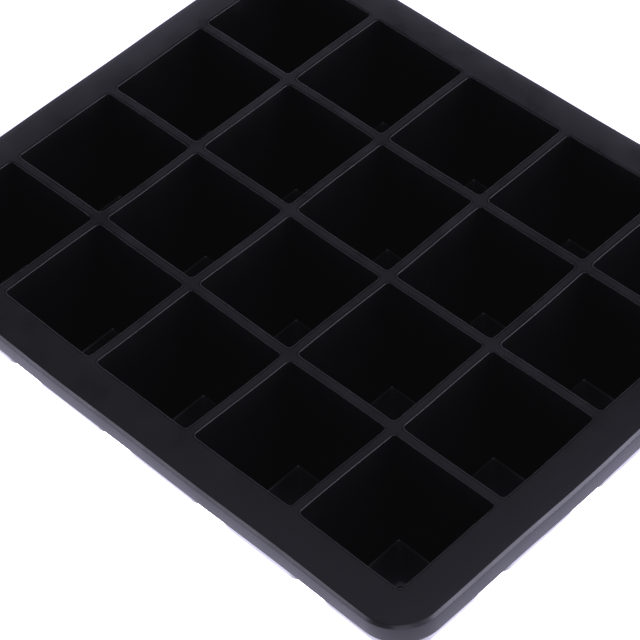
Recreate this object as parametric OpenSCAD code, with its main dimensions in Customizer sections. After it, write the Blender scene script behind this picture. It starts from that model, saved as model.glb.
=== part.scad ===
// Plug tray: twenty tapered square cups hanging from one flat deck, with a
// turned-down band around the edge. The tray is a single thick moulding in
// flexible black rubber, so its sub-parts are the regions of that moulding.
// They touch face to face and none of them moves.
//
// Frame: X along the length, Y along the width, Z up. The origin is under the
// middle of the tray, on the surface that the cups stand on.

/* [Cells] */
// Distance from one cell centre to the next
pitch = 40; // [36:1:48]
// Cells along the length
columns = 5; // [3:1:6]
// Cells along the width
rows = 4; // [2:1:6]
// Thickness of the wall between two cells at the top of the deck
web_w = 3; // [2.6:0.1:5]
// Radius of the vertical corners of a cell's mouth
mouth_r = 1.3; // [0.8:0.1:3]

/* [Cups] */
// Height of the whole tray, from the cups' feet to the top of the deck
tray_h = 40; // [34:1:50]
// Width of a cell's floor, measured between its walls
floor_w = 26.4; // [24:0.2:28]
// Radius of the rounded edge where a cell's walls meet its floor
floor_r = 1; // [1:0.1:4]
// Thickness of a cup's wall at its foot
wall_t = 3.3; // [1.4:0.1:4]
// Thickness of a cup's floor
floor_t = 2; // [1.6:0.1:3]
// Radius of the rounded edge around a cup's foot
foot_r = 1; // [1:0.5:3]
// Gap between two neighbouring cups where they meet the deck
shoulder_gap = 0.4; // [0.3:0.1:1]

/* [Drain] */
// Diameter of the drain hole in a cup's floor
drain_d = 4; // [3:0.5:12]

/* [Rim] */
// How far the deck reaches past the outer cells' grid lines
overhang = 10.6; // [9:0.1:14]
// Radius of the tray's outer corners
corner_r = 13.5; // [8:0.5:16]
// Thickness of the deck
deck_t = 2.6; // [2:0.1:4]
// Height of the turned-down band
band_h = 7; // [5:0.1:10]
// Thickness of the turned-down band
band_t = 2.6; // [2:0.1:4]
// How far the bevel between the deck and the band's face reaches outwards
bevel_run = 0.8; // [0.3:0.1:1.5]
// How far that bevel drops
bevel_drop = 1.1; // [0.4:0.1:2]
// Radius of the band's rounded lower edges
lip_r = 0.6; // [0.3:0.1:0.9]

/* [Hidden] */
// Smoothness of the true arcs, and of the corners inside a hull
ARC_FN = 64;
HULL_FN = 24;
// Steps in a rounded edge that is part of a hull
EDGE_STEPS = 3;
// Thickness of a slice that a hull is stretched over
SLICE = 0.01;
// Extra length of a cut past the faces it opens
PAST = 1;

RUBBER = [0.10, 0.10, 0.115];
RUBBER_BAND = [0.40, 0.39, 0.46];
RUBBER_WEB = [0.14, 0.14, 0.16];
RUBBER_CUP = [0.20, 0.20, 0.23];

tray_l = columns * pitch + 2 * overhang;
tray_w = rows * pitch + 2 * overhang;
mouth_w = pitch - web_w;
deck_z = tray_h - deck_t;
// The field of cells, from the outer edge of the first mouth to that of the last
field_l = columns * pitch - web_w;
field_w = rows * pitch - web_w;
// A cell's width falls evenly from the underside of the deck down to its floor
taper = (mouth_w - floor_w) / 2 / (deck_z - floor_t);
foot_w = floor_w + 2 * wall_t - 2 * taper * floor_t;
shoulder_w = pitch - shoulder_gap;
shoulder_r = mouth_r + (shoulder_w - mouth_w) / 2;

LETTERS = "abcdefgh";

// Names: rows are lettered from the front (low Y), columns are numbered from the left
function cup_name(c, r) = str("cup_", LETTERS[r], c + 1);
function long_web_name(k) = str("long_web_", k + 1);
function cross_web_name(k) = str("cross_web_", k + 1);

// Place of a cell's centre, and of the web after a cell
function cell_x(c) = (c - (columns - 1) / 2) * pitch;
function cell_y(r) = (r - (rows - 1) / 2) * pitch;
function cross_web_x(k) = cell_x(k) + pitch / 2;
function long_web_y(k) = cell_y(k) + pitch / 2;

CUPS = [for (r = [0:rows - 1]) for (c = [0:columns - 1]) cup_name(c, r)];
LONG_WEBS = [for (k = [0:rows - 2]) long_web_name(k)];
CROSS_WEBS = [for (k = [0:columns - 2]) cross_web_name(k)];

// Rectangle with round corners, centred on the origin
module round_rect(l, w, r) {
    square([l - 2 * r, w], center = true);
    square([l, w - 2 * r], center = true);
    for (x = [-1, 1]) for (y = [-1, 1])
        translate([x * (l / 2 - r), y * (w / 2 - r)])
            circle(r, $fn = ARC_FN);
}

// Thin square slice with round corners, for a hull to be stretched over
module slice(w, r, z) {
    for (x = [-1, 1]) for (y = [-1, 1])
        translate([x * (w / 2 - r), y * (w / 2 - r), z])
            cylinder(r = r, h = SLICE, $fn = HULL_FN);
}

// Solid that narrows from its top to its bottom, with a rounded bottom edge
module tapered_plug(top_w, top_z, top_r, low_w, low_z, low_r, edge) {
    hull() {
        slice(top_w, top_r, top_z - SLICE);
        for (i = [0:EDGE_STEPS]) {
            a = 90 * i / EDGE_STEPS;
            inset = edge * (1 - sin(a));
            slice(low_w - 2 * inset, low_r, low_z + edge * (1 - cos(a)));
        }
    }
}

// The mouths of all the cells, as one flat pattern
module mouths() {
    for (c = [0:columns - 1]) for (r = [0:rows - 1])
        translate([cell_x(c), cell_y(r)])
            round_rect(mouth_w, mouth_w, mouth_r);
}

// A stretch of the deck: the given flat shape, with the mouths cut through it
module deck_stretch() {
    translate([0, 0, deck_z])
        linear_extrude(deck_t)
            difference() {
                children();
                mouths();
            }
}

// Flat flange around the field of cells, with the rounded corners of the four
// corner mouths
module top_rim() {
    color(RUBBER)
        deck_stretch()
            difference() {
                round_rect(tray_l - 2 * band_t, tray_w - 2 * band_t, corner_r - band_t);
                square([field_l - 2 * mouth_r, field_w], center = true);
                square([field_l, field_w - 2 * mouth_r], center = true);
            }
}

// Section of the band: its outer face is at x = 0 and its top at y = 0
module band_section() {
    polygon([
        [-band_t, 0],
        [-bevel_run, 0],
        [0, -bevel_drop],
        [0, -band_h + lip_r],
        [-band_t, -band_h + lip_r]
    ]);
    translate([-band_t + lip_r, -band_h]) square([band_t - 2 * lip_r, lip_r]);
    for (x = [-band_t + lip_r, -lip_r])
        translate([x, -band_h + lip_r])
            intersection() {
                circle(lip_r, $fn = ARC_FN);
                translate([-lip_r, -lip_r]) square([2 * lip_r, lip_r]);
            }
}

// One straight run of the band, with its outer face at the given distance
module band_run(length, out) {
    translate([length / 2, out, tray_h])
        rotate([90, 0, -90])
            linear_extrude(length)
                mirror([1, 0]) band_section();
}

// Turned-down band that closes the deck's edge and stiffens it
module rim_band() {
    run_l = tray_l - 2 * corner_r;
    run_w = tray_w - 2 * corner_r;
    color(RUBBER_BAND)
        union() {
            for (turn = [0, 180]) {
                rotate(turn) band_run(run_l, tray_w / 2);
                rotate(turn + 90) band_run(run_w, tray_l / 2);
            }
            for (x = [-1, 1]) for (y = [-1, 1])
                translate([x * run_l / 2, y * run_w / 2, tray_h])
                    rotate(atan2(y, x) - 45)
                        rotate_extrude(angle = 90, $fn = ARC_FN)
                            translate([corner_r, 0]) band_section();
        }
}

// Web between two rows of cells, running the whole length of the field and
// flared where it runs into the rim
module long_web(k) {
    color(RUBBER_WEB)
        deck_stretch()
            translate([0, long_web_y(k)]) {
                square([field_l, web_w], center = true);
                for (x = [-1, 1])
                    translate([x * (field_l - mouth_r) / 2, 0])
                        square([mouth_r, web_w + 2 * mouth_r], center = true);
            }
}

// Webs between two columns of cells: one short solid in each row of the field,
// flared at both ends by the rounded corners of the mouths
module cross_web(k) {
    color(RUBBER_WEB)
        deck_stretch()
            for (r = [0:rows - 1])
                translate([cross_web_x(k), cell_y(r)])
                    square([web_w + 2 * mouth_r, mouth_w], center = true);
}

// Cup under one cell: tapered walls, a flat foot and a drained floor
module cup(c, r) {
    color(RUBBER_CUP)
        translate([cell_x(c), cell_y(r), 0])
            difference() {
                tapered_plug(shoulder_w, deck_z, shoulder_r, foot_w, 0, foot_r + wall_t, foot_r);
                tapered_plug(mouth_w, deck_z + SLICE, mouth_r, floor_w, floor_t, floor_r, floor_r);
                translate([0, 0, -PAST])
                    cylinder(d = drain_d, h = floor_t + 2 * PAST, $fn = ARC_FN);
            }
}

top_rim();
rim_band();
for (k = [0:rows - 2])
    long_web(k);
for (k = [0:columns - 2])
    cross_web(k);
for (c = [0:columns - 1]) for (r = [0:rows - 1])
    cup(c, r);
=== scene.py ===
import math

import bmesh
import bpy
import numpy as np
from mathutils import Matrix, Vector


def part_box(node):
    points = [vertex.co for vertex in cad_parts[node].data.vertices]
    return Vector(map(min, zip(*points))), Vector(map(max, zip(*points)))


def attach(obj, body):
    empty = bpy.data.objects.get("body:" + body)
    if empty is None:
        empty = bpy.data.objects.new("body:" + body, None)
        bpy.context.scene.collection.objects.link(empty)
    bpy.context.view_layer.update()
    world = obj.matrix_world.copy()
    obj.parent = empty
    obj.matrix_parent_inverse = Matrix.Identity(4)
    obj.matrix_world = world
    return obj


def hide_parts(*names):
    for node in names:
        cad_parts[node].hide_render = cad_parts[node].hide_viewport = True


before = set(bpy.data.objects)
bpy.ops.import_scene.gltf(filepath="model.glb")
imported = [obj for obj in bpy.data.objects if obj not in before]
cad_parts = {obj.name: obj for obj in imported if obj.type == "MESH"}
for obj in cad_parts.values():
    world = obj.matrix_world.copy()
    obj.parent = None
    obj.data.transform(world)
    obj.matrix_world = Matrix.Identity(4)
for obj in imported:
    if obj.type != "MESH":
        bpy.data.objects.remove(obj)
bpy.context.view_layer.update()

# The tray is one soft black moulding. Each CAD node is replaced by a finely
# rounded piece of the same region, and the pieces meet along seams on flat
# stretches, where nothing shows. The same slow waves run through all of them.

MM = 0.001

# ---- Places, from the frame

deck_low, deck_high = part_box("top_rim")
band_low, band_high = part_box("rim_band")
DECK_Z = deck_high.z
UNDER_Z = deck_low.z
BAND_Z = band_low.z
HALF_L = band_high.x
HALF_W = band_high.y
BAND_T = band_high.x - deck_high.x

cup_names = sorted(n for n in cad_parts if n.startswith("cup_"))
cup_boxes = {n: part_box(n) for n in cup_names}
cup_centres = {n: (lo + hi) / 2 for n, (lo, hi) in cup_boxes.items()}
column_x = sorted({round(c.x, 5) for c in cup_centres.values()})
row_y = sorted({round(c.y, 5) for c in cup_centres.values()})
PITCH = column_x[1] - column_x[0]
long_web_y = [y + PITCH / 2 for y in row_y[:-1]]
cross_web_x = [x + PITCH / 2 for x in column_x[:-1]]

# ---- Sizes of the moulding

# Webs and mouths. A cup's piece reaches a seam's width onto the flat top around its mouth
WEB_W = 3.0 * MM
MOUTH_R = 1.3 * MM
MOUTH_EDGE = 0.22 * MM
SEAM = 0.75 * MM
# Cup, from its floor out to its foot
FLOOR_HALF = 13.2 * MM
FLOOR_T = 2.0 * MM
FLOOR_R = 1.0 * MM
FLOOR_CORNER_R = 1.2 * MM
WALL_T = 3.3 * MM
FOOT_R = 1.0 * MM
FOOT_CORNER_R = 3.0 * MM
DRAIN_R = 2.0 * MM
DRAIN_EDGE = 0.3 * MM
# Under the deck: the gap between two cups, its arched top and the fillets beside the rim
SHOULDER_GAP = 0.4 * MM
ARCH_R = 0.6 * MM
ROOT_R = 1.2 * MM
RIM_TUCK = 0.3 * MM
# Band around the tray
CORNER_R = 13.5 * MM
BEVEL_RUN = 0.8 * MM
BEVEL_DROP = 1.1 * MM
BEVEL_TOP_R = 0.25 * MM
BEVEL_LOW_R = 0.45 * MM
LIP_R = 0.6 * MM

MOUTH_HALF = PITCH / 2 - WEB_W / 2
SEAM_HALF = MOUTH_HALF + SEAM
SEAM_R = MOUTH_R + SEAM
WEB_SEAM = PITCH / 2 - SEAM_HALF
SHOULDER_R = MOUTH_R + WEB_W / 2
FIELD_HALF_L = column_x[-1] + MOUTH_HALF
FIELD_HALF_W = row_y[-1] + MOUTH_HALF

# Inner wall's lean, and the centres of the rounded edges at its foot, inside and outside
WALL_TOP = DECK_Z - MOUTH_EDGE
SLOPE = (MOUTH_HALF - FLOOR_HALF) / (WALL_TOP - FLOOR_T)
LEAN = math.degrees(math.atan(SLOPE))
LEAN_COS = math.cos(math.atan(SLOPE))
LEAN_SIN = math.sin(math.atan(SLOPE))
FOOT_HALF = FLOOR_HALF + WALL_T - SLOPE * FLOOR_T
INNER_EDGE_HALF = FLOOR_HALF + SLOPE * FLOOR_R - FLOOR_R / LEAN_COS
OUTER_EDGE_HALF = FOOT_HALF + SLOPE * FOOT_R - FOOT_R / LEAN_COS

# ---- How finely the meshes are divided

CORNER_STEPS = 8
SIDE_STEPS = 14
OUTLINE_CORNER_STEPS = 24
OUTLINE_SIDE_STEPS = 64
MOUTH_STEPS = 6
WALL_STEPS = 10
FLOOR_EDGE_STEPS = 7
DRAIN_STEPS = 4
ARCH_STEPS = 6
BAND_STEPS = 5
# Where the loops lie across a flat stretch, as shares of the way over it
FLOOR_SHARES = (0.3, 0.6, 0.85, 1)
FOOT_SHARES = (0.15, 0.4, 0.7)
RIM_SHARES = (0, 0.06, 0.3, 0.5, 0.7, 0.94, 1)
UNDER_RIM_SHARES = (0.3, 0.6, 1)
SHARP_ANGLE = math.radians(40)

# ---- Slow waves of the soft moulding: size, radians per metre along X and along Y, phase

DRIFT_X = ((0.26 * MM, 0, 39, 0.7 + math.pi / 2), (0.12 * MM, -43, 118, 2.1))
DRIFT_Y = ((0.20 * MM, 39, 0, -math.pi / 2), (0.10 * MM, 109, 38, 4.4))
DIP = ((0.09 * MM, 47, 31, 0.3), (0.07 * MM, -29, 83, 1.2))
MEAN_DIP = 0.16 * MM
# How far each cup's foot hangs out of line
HANG_X = ((0.35 * MM, 140, 90, 0),)
HANG_Y = ((0.35 * MM, -160, 95, 2),)
# How far the rim sags and the band's right side splays
DROOP = 0.6 * MM
SPLAY = 0.4 * MM
# Powers that say how quickly each of these fades away from where it is strongest
DRIFT_FADE = 1.6
HANG_FADE = 1.4
SPLAY_FADE = 4


def waves(terms, x, y):
    """Sum of the waves at a place."""
    return sum(size * np.sin(along_x * x + along_y * y + phase)
               for size, along_x, along_y, phase in terms)


def droop(x, y):
    """How far the rim sags, growing from the field of cells out to the edge."""
    past_x = np.maximum(np.abs(x) - FIELD_HALF_L, 0)
    past_y = np.maximum(np.abs(y) - FIELD_HALF_W, 0)
    return DROOP * (np.hypot(past_x, past_y) / (HALF_L - FIELD_HALF_L)) ** 2


def settled(points):
    """The points after the moulding has relaxed: full waves at the deck, none at the feet."""
    points = np.array(points, float)
    x, y = points[:, 0].copy(), points[:, 1].copy()
    share = np.clip(points[:, 2] / UNDER_Z, 0, 1) ** DRIFT_FADE
    points[:, 0] += waves(DRIFT_X, x, y) * share
    points[:, 1] += waves(DRIFT_Y, x, y) * share
    sag = droop(points[:, 0], points[:, 1])
    points[:, 2] -= (MEAN_DIP + waves(DIP, x, y) + sag) * share
    return points


# ---- Mesh helpers

def finish_mesh(name, verts, faces, material, node):
    """A closed smooth piece that stands for one CAD node."""
    mesh = bpy.data.meshes.new(name)
    mesh.from_pydata([tuple(v) for v in settled(verts)], [], faces)
    bm = bmesh.new()
    bm.from_mesh(mesh)
    bmesh.ops.recalc_face_normals(bm, faces=bm.faces)
    bm.to_mesh(mesh)
    bm.free()
    mesh.shade_smooth()
    mesh.set_sharp_from_angle(angle=SHARP_ANGLE)
    piece = bpy.data.objects.new(name, mesh)
    bpy.context.scene.collection.objects.link(piece)
    mesh.materials.append(material)
    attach(piece, "root")
    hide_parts(node)
    return piece


def arc(start_deg, end_deg, steps, skip_first=False):
    """Angles of an arc in even steps, given in degrees and returned in radians."""
    turns = np.radians(np.linspace(start_deg, end_deg, steps + 1))
    return turns[1:] if skip_first else turns


def blend(start, end, share):
    """What lies a share of the way from start to end, for numbers and for loops."""
    return start + (end - start) * share


def ring_of_loops(loops):
    """Vertices and quads of a closed ring made of equal loops, the last joined to the first."""
    count = len(loops[0])
    verts = np.concatenate(loops)
    faces = []
    for i in range(len(loops)):
        a = i * count
        b = (i + 1) % len(loops) * count
        for k in range(count):
            n = (k + 1) % count
            faces.append((a + k, a + n, b + n, b + k))
    return verts, faces


def round_loop(centre, sides, corner_r, heights, corner_steps, side_steps):
    """Rounded rectangle as points. sides and heights give the left, right, front and back
    half-widths and heights, and a corner turns smoothly from one side's to the next's."""
    left, right, front, back = sides
    z_left, z_right, z_front, z_back = heights
    corners = [
        (right, back, z_right, z_back, 0),
        (-left, back, z_left, z_back, 1),
        (-left, -front, z_left, z_front, 2),
        (right, -front, z_right, z_front, 3),
    ]
    arcs = []
    for x, y, z_beside, z_ahead, quarter in corners:
        middle = (x - math.copysign(corner_r, x), y - math.copysign(corner_r, y))
        turns = (quarter + np.linspace(0, 1, corner_steps + 1)) * math.pi / 2
        cos, sin = np.cos(turns), np.sin(turns)
        arcs.append(np.stack([
            middle[0] + corner_r * cos,
            middle[1] + corner_r * sin,
            z_beside * cos ** 2 + z_ahead * sin ** 2,
        ], 1))
    points = []
    for quarter, corner in enumerate(arcs):
        points.append(corner)
        start, end = corner[-1], arcs[(quarter + 1) % 4][0]
        for step in range(1, side_steps):
            points.append(blend(start, end, step / side_steps)[None])
    return np.concatenate(points) + np.array([centre[0], centre[1], 0])


# ---- Cups. A row is a loop's half-width, corner radius and height. Where a row has five
# values, the last two are the half-width and height on a side that faces the rim.

def inside_rows():
    """Flat strip around the mouth, its rounded edge, and the wall down to the floor."""
    rows = [(SEAM_HALF, SEAM_R, DECK_Z)]
    for turn in arc(0, 90 - LEAN, MOUTH_STEPS):
        out = MOUTH_EDGE * (1 - math.sin(turn))
        rows.append((MOUTH_HALF + out, MOUTH_R + out, WALL_TOP + MOUTH_EDGE * math.cos(turn)))

    top_half, _, top_z = rows[-1]
    low_half = INNER_EDGE_HALF + FLOOR_R * LEAN_COS
    low_z = FLOOR_T + FLOOR_R * (1 - LEAN_SIN)
    for share in np.linspace(0, 1, WALL_STEPS + 1)[1:-1]:
        rows.append((
            blend(top_half, low_half, share),
            blend(MOUTH_R, FLOOR_CORNER_R, share),
            blend(top_z, low_z, share),
        ))
    for turn in arc(-LEAN, -90, FLOOR_EDGE_STEPS):
        half = INNER_EDGE_HALF + FLOOR_R * math.cos(turn)
        corner_r = FLOOR_CORNER_R - (low_half - half)
        rows.append((half, corner_r, FLOOR_T + FLOOR_R * (1 + math.sin(turn))))
    return rows


def outside_rows():
    """Rounded edge of the foot and the wall up to the deck. Between two cups the wall ends
    in a small arch, and beside the rim in a fillet."""
    rows = []
    for turn in arc(-90, -LEAN, FLOOR_EDGE_STEPS):
        half = OUTER_EDGE_HALF + FOOT_R * math.cos(turn)
        corner_r = FOOT_CORNER_R + half - OUTER_EDGE_HALF
        rows.append((half, corner_r, FOOT_R * (1 + math.sin(turn))))

    low_half, low_corner_r, low_z = rows[-1]
    outer_slope = (PITCH / 2 - SHOULDER_GAP / 2 - FOOT_HALF) / UNDER_Z
    arch_half = PITCH / 2 - ARCH_R * LEAN_COS
    arch_z = (arch_half - FOOT_HALF) / outer_slope
    root_z = UNDER_Z - ROOT_R * (1 - LEAN_SIN)
    root_half = FOOT_HALF + outer_slope * root_z
    for share in np.linspace(0, 1, WALL_STEPS + 1)[1:]:
        rows.append((
            blend(low_half, arch_half, share),
            blend(low_corner_r, SHOULDER_R, share),
            blend(low_z, arch_z, share),
            blend(low_half, root_half, share),
            blend(low_z, root_z, share),
        ))
    for turn in arc(LEAN, 90, ARCH_STEPS, skip_first=True):
        rows.append((
            PITCH / 2 - ARCH_R * math.cos(turn),
            SHOULDER_R,
            arch_z + ARCH_R * (math.sin(turn) - LEAN_SIN),
            root_half + ROOT_R * (LEAN_COS - math.cos(turn)),
            UNDER_Z - ROOT_R * (1 - math.sin(turn)),
        ))

    # Hidden faces against the neighbours and the deck
    rim_half = root_half + ROOT_R * LEAN_COS - RIM_TUCK
    rows.append((PITCH / 2, SHOULDER_R, UNDER_Z, rim_half, UNDER_Z))
    rows.append((SEAM_HALF, SEAM_R, UNDER_Z))
    return rows


def cup_mesh(name):
    """One cup, as loops that run down its inside, across its floor, through the drain hole,
    across its underside and up its outside."""
    centre = cup_centres[name]
    on_rim = (
        centre.x < column_x[0] + MM,
        centre.x > column_x[-1] - MM,
        centre.y < row_y[0] + MM,
        centre.y > row_y[-1] - MM,
    )

    def square(half, corner_r, z, rim_half=None, rim_z=None):
        sides = [rim_half if rim and rim_half else half for rim in on_rim]
        heights = [rim_z if rim and rim_z else z for rim in on_rim]
        return round_loop(centre, sides, corner_r, heights, CORNER_STEPS, SIDE_STEPS)

    inside = [square(*row) for row in inside_rows()]
    outside = [square(*row) for row in outside_rows()]
    around = np.arctan2(inside[-1][:, 1] - centre.y, inside[-1][:, 0] - centre.x)

    def circle(out, z):
        r = DRAIN_R + out
        height = np.full(len(around), z)
        return np.stack([centre.x + r * np.cos(around), centre.y + r * np.sin(around), height], 1)

    drain_top = circle(DRAIN_EDGE, FLOOR_T)
    loops = inside + [blend(inside[-1], drain_top, share) for share in FLOOR_SHARES]
    for turn in arc(0, 90, DRAIN_STEPS, skip_first=True):
        drop = DRAIN_EDGE * (1 - math.cos(turn))
        loops.append(circle(DRAIN_EDGE * (1 - math.sin(turn)), FLOOR_T - drop))
    for turn in arc(90, 0, DRAIN_STEPS):
        loops.append(circle(DRAIN_EDGE * (1 - math.sin(turn)), DRAIN_EDGE * (1 - math.cos(turn))))
    drain_low = loops[-1]
    loops += [blend(drain_low, outside[0], share) for share in FOOT_SHARES]
    verts, faces = ring_of_loops(loops + outside)

    # A soft cup never hangs quite straight
    hang = np.clip(1 - verts[:, 2] / UNDER_Z, 0, 1) ** HANG_FADE
    verts[:, 0] += hang * waves(HANG_X, centre.x, centre.y)
    verts[:, 1] += hang * waves(HANG_Y, centre.x, centre.y)
    return verts, faces


# ---- Deck: the flat tops of the webs, the rim and its band

def web_stations(centres):
    """Places along a web, in step with the points of the cups beside it, and its half-width
    at each: straight beside a cell and flared where the cell's corner turns away."""
    stations = []
    flat = MOUTH_HALF - MOUTH_R
    for turn in arc(90, 0, CORNER_STEPS):
        stations.append((centres[0] - flat - SEAM_R * math.sin(turn),
                         WEB_SEAM + SEAM_R * (1 - math.cos(turn))))
    for i, centre in enumerate(centres):
        if i:
            stations.append((centre - PITCH / 2, WEB_SEAM))
            stations.append((centre - flat, WEB_SEAM))
        for step in range(1, SIDE_STEPS + 1):
            stations.append((centre - flat + 2 * flat * step / SIDE_STEPS, WEB_SEAM))
    for turn in arc(0, 90, CORNER_STEPS, skip_first=True):
        stations.append((centres[-1] + flat + SEAM_R * math.sin(turn),
                         WEB_SEAM + SEAM_R * (1 - math.cos(turn))))
    return stations


def strip_mesh(stations, offset, along_x, first=0):
    """A closed flat bar through the stations, from the deck's top to its underside."""
    across = np.array([-1, -0.5, 0, 0.5, 1])
    section = [(s, DECK_Z) for s in across] + [(s, UNDER_Z) for s in across[::-1]]
    verts, faces = [], []
    for place, half in stations:
        for s, z in section:
            if along_x:
                verts.append((place, offset + s * half, z))
            else:
                verts.append((offset + s * half, place, z))
    size = len(section)
    for i in range(len(stations) - 1):
        for k in range(size):
            n = (k + 1) % size
            a, b = first + i * size, first + (i + 1) * size
            faces.append((a + k, a + n, b + n, b + k))
    last = first + (len(stations) - 1) * size
    for k in range(size // 2 - 1):
        cap = (k, k + 1, size - 2 - k, size - 1 - k)
        faces.append(tuple(first + c for c in cap))
        faces.append(tuple(last + c for c in cap[::-1]))
    return verts, faces


def long_web_mesh(y):
    """Web along the whole field of cells."""
    return strip_mesh(web_stations(column_x), y, along_x=True)


def cross_web_mesh(x):
    """Web across the field, as one bar beside each row of cells."""
    verts, faces = [], []
    for y in row_y:
        more_verts, more_faces = strip_mesh(web_stations([y]), x, along_x=False, first=len(verts))
        verts += more_verts
        faces += more_faces
    return verts, faces


def outline_loop(half_l, half_w, corner_r, z):
    """Level rounded rectangle around the middle of the tray."""
    sides = (half_l, half_l, half_w, half_w)
    return round_loop((0, 0), sides, corner_r, (z,) * 4, OUTLINE_CORNER_STEPS, OUTLINE_SIDE_STEPS)


def edge_loop(inset, z):
    """Loop that follows the tray's outline at a distance inside it."""
    return outline_loop(HALF_L - inset, HALF_W - inset, CORNER_R - inset, z)


def rim_mesh():
    """Flat flange, with a fillet under it where the band hangs down."""
    inner_l = column_x[-1] + SEAM_HALF
    inner_w = row_y[-1] + SEAM_HALF
    inner = outline_loop(inner_l, inner_w, SEAM_R, DECK_Z)
    outer = edge_loop(BAND_T, DECK_Z)
    loops = [blend(inner, outer, share) for share in RIM_SHARES]
    for turn in arc(0, 90, ARCH_STEPS):
        inset = BAND_T + ROOT_R * (1 - math.cos(turn))
        loops.append(edge_loop(inset, UNDER_Z - ROOT_R * (1 - math.sin(turn))))
    under_outer = loops[-1]
    under_inner = outline_loop(inner_l, inner_w, SEAM_R, UNDER_Z)
    loops += [blend(under_outer, under_inner, share) for share in UNDER_RIM_SHARES]
    return ring_of_loops(loops)


def rounded_path(corners):
    """Open path through (x, z, radius) corners, with each corner turned into an arc."""
    points = []
    for before, (x, z, r), after in zip(corners, corners[1:], corners[2:]):
        corner = np.array([x, z])
        come = np.array(before[:2]) - corner
        go = np.array(after[:2]) - corner
        come /= np.linalg.norm(come)
        go /= np.linalg.norm(go)
        half = math.acos(np.clip(come @ go, -1, 1)) / 2
        middle = corner + (come + go) / np.linalg.norm(come + go) * r / math.sin(half)
        start = corner + come * r / math.tan(half) - middle
        sweep = math.copysign(math.pi - 2 * half, come[1] * go[0] - come[0] * go[1])
        for turn in np.linspace(0, sweep, BAND_STEPS + 1):
            cos, sin = math.cos(turn), math.sin(turn)
            points.append((middle[0] + start[0] * cos - start[1] * sin,
                           middle[1] + start[0] * sin + start[1] * cos))
    return [corners[0][:2]] + points + [corners[-1][:2]]


def band_mesh():
    """Turned-down band: a steep bevel below the deck's sharp edge, a plain face that splays
    a little on the right, and a rounded lower lip."""
    bevel_z = DECK_Z - BEVEL_DROP
    profile = rounded_path([
        (BAND_T, DECK_Z, 0),
        (BEVEL_RUN, DECK_Z, BEVEL_TOP_R),
        (0, bevel_z, BEVEL_LOW_R),
        (0, BAND_Z, LIP_R),
        (BAND_T, BAND_Z, LIP_R),
        (BAND_T, UNDER_Z - ROOT_R, 0),
    ])
    verts, faces = ring_of_loops([edge_loop(inset, z) for inset, z in profile])
    depth = np.clip((bevel_z - verts[:, 2]) / (bevel_z - BAND_Z), 0, 1)
    verts[:, 0] += SPLAY * depth * np.clip(verts[:, 0] / HALF_L, 0, 1) ** SPLAY_FADE
    return verts, faces


# ---- Node helpers, shared by the rubber, the table and the room

def add_node(tree, kind, inputs, **settings):
    """A new node. An input is a plain value or the output of another node."""
    node = tree.nodes.new(kind)
    for name, value in settings.items():
        setattr(node, name, value)
    for key, value in inputs.items():
        if isinstance(value, bpy.types.NodeSocket):
            tree.links.new(value, node.inputs[key])
        else:
            node.inputs[key].default_value = value
    return node


def spread(tree, value, low, high, to_low, to_high):
    """The value carried from one range over to another."""
    ranges = {"From Min": low, "From Max": high, "To Min": to_low, "To Max": to_high}
    return add_node(tree, "ShaderNodeMapRange", {"Value": value, **ranges}).outputs["Result"]


def calculated(tree, operation, a, b):
    """Sum, product or the like of two outputs."""
    return add_node(tree, "ShaderNodeMath", {0: a, 1: b}, operation=operation).outputs["Value"]


# ---- Rubber

RUBBER_TONE = (0.0016, 0.0016, 0.0019)
DUST_TONE = (0.05, 0.05, 0.055, 1)
DECK_ROUGHNESS = 0.30
CUP_ROUGHNESS = 0.23
RUBBER_IOR = 1.41
SHEEN = 0.012
SHEEN_ROUGHNESS = 0.45
SHEEN_TINT = (0.75, 0.72, 1.0, 1)
# Slow clouds in the tone, and how dark and how light they are beside it
CLOUD_SCALE = 38
CLOUD_DARK = 0.85
CLOUD_LIGHT = 1.2
# Smears, which leave the surface a little smoother or rougher
SMEAR_SCALE = 90
SMEAR_SMOOTHER = 0.05
SMEAR_ROUGHER = 0.06
# Specks of dust, on what faces up
DUST_SCALE = 1500
DUST_FROM = 0.80
DUST_FULL = 0.84
DUST_SLOPE_FROM = 0.6
DUST_SLOPE_FULL = 0.95
DUST_ROUGHER = 0.05
# Moulded grain, and the swells that it lies on
GRAIN_SCALE = 3200
GRAIN_STRENGTH = 0.4
GRAIN_DEPTH = 0.02 * MM
SWELL_SCALE = 70
SWELL_STRENGTH = 0.25
SWELL_DEPTH = 0.15 * MM
NOISE_ROUGHNESS = 0.55


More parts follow.
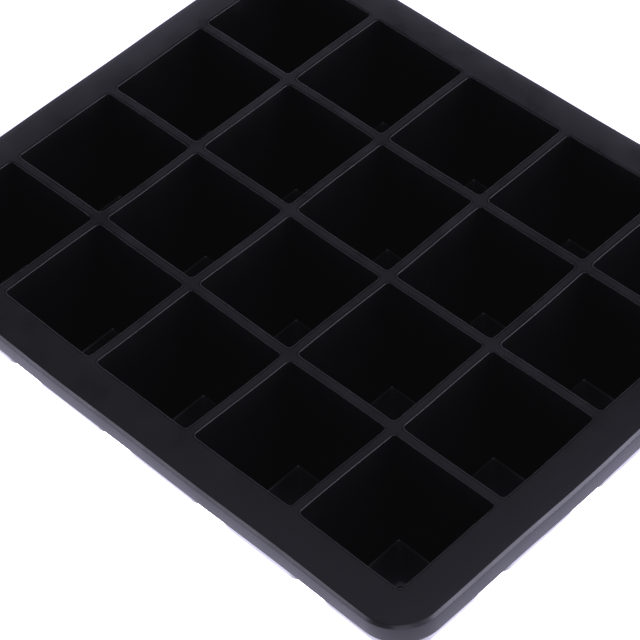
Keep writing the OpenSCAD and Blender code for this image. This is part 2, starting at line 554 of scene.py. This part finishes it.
def silicone(name, roughness):
    """Satin black silicone with slow clouds, smears, dust, a fine moulded grain and swells."""
    material = bpy.data.materials.new(name)
    material.use_nodes = True
    tree = material.node_tree
    shader = tree.nodes["Principled BSDF"]
    place = tree.nodes.new("ShaderNodeTexCoord").outputs["Object"]
    normal = tree.nodes.new("ShaderNodeNewGeometry").outputs["Normal"]

    def noise(scale, detail):
        inputs = {"Vector": place, "Scale": scale, "Detail": detail, "Roughness": NOISE_ROUGHNESS}
        return add_node(tree, "ShaderNodeTexNoise", inputs).outputs["Fac"]

    def mixed(factor, a, b):
        inputs = {"Factor": factor, "A": a, "B": b}
        return add_node(tree, "ShaderNodeMix", inputs, data_type="RGBA").outputs["Result"]

    def bump(height, strength, depth, below=None):
        inputs = {"Height": height, "Strength": strength, "Distance": depth}
        if below:
            inputs["Normal"] = below
        return add_node(tree, "ShaderNodeBump", inputs).outputs["Normal"]

    dark = (*(CLOUD_DARK * c for c in RUBBER_TONE), 1)
    light = (*(CLOUD_LIGHT * c for c in RUBBER_TONE), 1)
    body = mixed(spread(tree, noise(CLOUD_SCALE, 3), 0.35, 0.65, 0, 1), dark, light)
    upward = add_node(tree, "ShaderNodeSeparateXYZ", {"Vector": normal}).outputs["Z"]
    faces_up = spread(tree, upward, DUST_SLOPE_FROM, DUST_SLOPE_FULL, 0, 1)
    dots = spread(tree, noise(DUST_SCALE, 1), DUST_FROM, DUST_FULL, 0, 1)
    dust = calculated(tree, "MULTIPLY", dots, faces_up)
    tree.links.new(mixed(dust, body, DUST_TONE), shader.inputs["Base Color"])

    smear = spread(tree, noise(SMEAR_SCALE, 4), 0.3, 0.7,
                   roughness - SMEAR_SMOOTHER, roughness + SMEAR_ROUGHER)
    dust_roughness = spread(tree, dust, 0, 1, 0, DUST_ROUGHER)
    tree.links.new(calculated(tree, "ADD", smear, dust_roughness), shader.inputs["Roughness"])

    grain = bump(noise(GRAIN_SCALE, 2), GRAIN_STRENGTH, GRAIN_DEPTH)
    swell = bump(noise(SWELL_SCALE, 2), SWELL_STRENGTH, SWELL_DEPTH, below=grain)
    tree.links.new(swell, shader.inputs["Normal"])

    shader.inputs["IOR"].default_value = RUBBER_IOR
    shader.inputs["Sheen Weight"].default_value = SHEEN
    shader.inputs["Sheen Roughness"].default_value = SHEEN_ROUGHNESS
    shader.inputs["Sheen Tint"].default_value = SHEEN_TINT
    return material


deck_rubber = silicone("silicone_deck", DECK_ROUGHNESS)
band_rubber = silicone("silicone_band", DECK_ROUGHNESS)
cup_rubber = silicone("silicone_cup", CUP_ROUGHNESS)


# ---- Pieces

for cup in cup_names:
    finish_mesh("moulded_" + cup, *cup_mesh(cup), cup_rubber, cup)
for number, y in enumerate(long_web_y, start=1):
    finish_mesh(f"moulded_long_web_{number}", *long_web_mesh(y), deck_rubber, f"long_web_{number}")
for number, x in enumerate(cross_web_x, start=1):
    finish_mesh(f"moulded_cross_web_{number}", *cross_web_mesh(x), deck_rubber, f"cross_web_{number}")
finish_mesh("moulded_top_rim", *rim_mesh(), deck_rubber, "top_rim")
finish_mesh("moulded_rim_band", *band_mesh(), band_rubber, "rim_band")


# ---- Table, light and camera

FLOOR_REACH = 6.0
FLOOR_COLOUR = (0.88, 0.87, 0.92, 1)
FLOOR_ROUGHNESS = 0.8
# A hair below the feet, so that the two never share a plane
FLOOR_DROP = 0.05 * MM

# The table's glow: painted light beside the feet that fills the tray's shadow, the glow near the tray
# and far from it, and the distances from the block of cup centres over which the painted shade beneath
# the cups gives way to glow, the painted light leaves the feet and the glow levels out
GLOW_TINT = (0.98, 0.95, 1.22, 1)
FEET_SHADOW_FILL = 2.4
GLOW_NEAR = 1.0
GLOW_FAR = 0.85
UNDER_CUP_SHADE_FADE = (8 * MM, 12 * MM)
FEET_SHADOW_FILL_REACH = (17 * MM, 22 * MM)
GLOW_LEVEL = (16 * MM, 45 * MM)

# Name, direction from the tray, distance, width, height and radiance
LIGHT_TINT = (0.98, 0.95, 1.2)
SOFT_BOXES = (
    ("back_right_box", (0.86, 0.45, 0.12), 1.6, 1.1, 0.32, 7.0),
    ("high_right_box", (0.74, 0.45, 0.5), 1.6, 0.8, 0.8, 4.0),
    ("front_left_box", (-0.5, -0.85, 0.12), 1.6, 1.0, 0.32, 5.0),
    ("front_right_box", (0.74, -0.67, 0.14), 1.6, 0.8, 0.4, 3.5),
    ("camera_side_box", (0.5, -0.4, 0.9), 1.8, 1.3, 1.3, 0.35),
)

# Height on the sphere of directions, from 0 at the horizon to 1 overhead, and brightness
ROOM_TINT = (0.98, 0.95, 1.24)
ROOM_LEVELS = (
    (0.001, 1.1), (0.35, 1.1), (0.44, 0.85), (0.5, 0.5), (0.56, 0.2),
    (0.63, 0.05), (0.75, 0.05), (0.8, 0.16), (0.84, 0.45), (0.9, 0.5), (0.999, 0.45),
)
# The room's brightness in front of the tray and behind it, and how far each of them reaches
ROOM_FRONT = 0.15
ROOM_BACK = 1.9
ROOM_DEPTH = 0.9

# Camera: degrees round from the front, up from the table and about its own axis
CAMERA_ANGLES = (47.88, 48.03, -4.64)
CAMERA_DISTANCE = 17.62 * PITCH
CAMERA_TARGET = Vector((0.441 * PITCH, -0.634 * PITCH, DECK_Z))
LENS_MM = 139.7
SENSOR_MM = 36
# Light scattered in the lens, which lifts the darkest tones
LENS_VEIL = (0.0023, 0.0023, 0.00253)


def pale_floor():
    """Bright white table that glows like a light table, with painted light beside the feet that fills
    the tray's shadow, and painted shade beneath the cups, where it does not glow.
    """
    mesh = bpy.data.meshes.new("floor")
    corners = [(FLOOR_REACH * x, FLOOR_REACH * y, 0) for x, y in ((-1, -1), (1, -1), (1, 1), (-1, 1))]
    mesh.from_pydata(corners, [], [(0, 1, 2, 3)])
    floor = bpy.data.objects.new("floor", mesh)
    bpy.context.scene.collection.objects.link(floor)
    floor.location.z = -FLOOR_DROP
    material = bpy.data.materials.new("pale_floor")
    material.use_nodes = True
    tree = material.node_tree
    shader = tree.nodes["Principled BSDF"]
    shader.inputs["Base Color"].default_value = FLOOR_COLOUR
    shader.inputs["Roughness"].default_value = FLOOR_ROUGHNESS
    shader.inputs["Emission Color"].default_value = GLOW_TINT

    # How far a place on the table lies outside the block of cup centres
    outside = tree.nodes.new("ShaderNodeTexCoord").outputs["Object"]
    block = (column_x[-1], row_y[-1], 1)
    for operation, other in (("ABSOLUTE", block), ("SUBTRACT", block), ("MAXIMUM", (0, 0, 0))):
        inputs = {0: outside, 1: other}
        outside = add_node(tree, "ShaderNodeVectorMath", inputs, operation=operation).outputs["Vector"]
    length = add_node(tree, "ShaderNodeVectorMath", {0: outside}, operation="LENGTH")
    distance = length.outputs["Value"]

    table = spread(tree, distance, *GLOW_LEVEL, GLOW_NEAR, GLOW_FAR)
    # Painted light: the glow rises beside the feet to fill the tray's shadow on the table
    feet = spread(tree, distance, *FEET_SHADOW_FILL_REACH, FEET_SHADOW_FILL, 0)
    # Painted shade: no glow beneath the cups, so the table there stays as dark as the tray's shadow
    # and the drain holes show dark
    glow_beyond_painted_shade = spread(tree, distance, *UNDER_CUP_SHADE_FADE, 0, 1)
    glow = calculated(tree, "MULTIPLY", glow_beyond_painted_shade, calculated(tree, "ADD", table, feet))
    tree.links.new(glow, shader.inputs["Emission Strength"])
    mesh.materials.append(material)


def soft_box(name, direction, distance, width, height, radiance):
    """A rectangular area light of the given radiance that looks at the middle of the tray."""
    light = bpy.data.lights.new(name, "AREA")
    light.shape = "RECTANGLE"
    light.size = width
    light.size_y = height
    light.energy = radiance * math.pi * width * height
    light.color = LIGHT_TINT
    lamp = bpy.data.objects.new(name, light)
    bpy.context.scene.collection.objects.link(lamp)
    towards = Vector(direction).normalized()
    lamp.location = towards * distance
    lamp.rotation_euler = towards.to_track_quat("Z", "Y").to_euler()


def pale_world():
    """Room around the table: bright near the horizon, dark overhead, brighter at the back."""
    world = bpy.data.worlds.new("studio")
    bpy.context.scene.world = world
    world.use_nodes = True
    tree = world.node_tree
    background = tree.nodes["Background"]
    place = tree.nodes.new("ShaderNodeTexCoord").outputs["Generated"]
    split = add_node(tree, "ShaderNodeSeparateXYZ", {"Vector": place})
    ramp = add_node(tree, "ShaderNodeValToRGB", {"Fac": split.outputs["Z"]})
    stops = ramp.color_ramp.elements
    for height, level in ROOM_LEVELS:
        stop = stops.new(height)
        stop.color = (*(level * c for c in ROOM_TINT), 1)
    stops.remove(stops[0])
    stops.remove(stops[-1])
    tree.links.new(ramp.outputs["Color"], background.inputs["Color"])
    depth = spread(tree, split.outputs["Y"], -ROOM_DEPTH, ROOM_DEPTH, ROOM_FRONT, ROOM_BACK)
    tree.links.new(depth, background.inputs["Strength"])


def photo_camera():
    """Camera above the tray's near right corner, turned a little about its own axis."""
    azimuth, elevation, roll = (math.radians(a) for a in CAMERA_ANGLES)
    back = Vector((math.sin(azimuth) * math.cos(elevation),
                   -math.cos(azimuth) * math.cos(elevation),
                   math.sin(elevation)))
    level = Vector((math.cos(azimuth), math.sin(azimuth), 0))
    upright = back.cross(level)
    right = level * math.cos(roll) + upright * math.sin(roll)
    up = upright * math.cos(roll) - level * math.sin(roll)
    data = bpy.data.cameras.new("camera")
    data.sensor_width = SENSOR_MM
    data.lens = LENS_MM
    camera = bpy.data.objects.new("camera", data)
    bpy.context.scene.collection.objects.link(camera)
    turn = Matrix((right, up, back)).transposed().to_4x4()
    camera.matrix_world = Matrix.Translation(CAMERA_TARGET + back * CAMERA_DISTANCE) @ turn
    bpy.context.scene.camera = camera


def lens_veil():
    """Plain view with its blacks lifted by the veil."""
    view = bpy.context.scene.view_settings
    view.view_transform = "Standard"
    view.use_curve_mapping = True
    view.curve_mapping.black_level = [-level for level in LENS_VEIL]
    view.curve_mapping.update()


pale_floor()
pale_world()
for box in SOFT_BOXES:
    soft_box(*box)
photo_camera()
lens_veil()
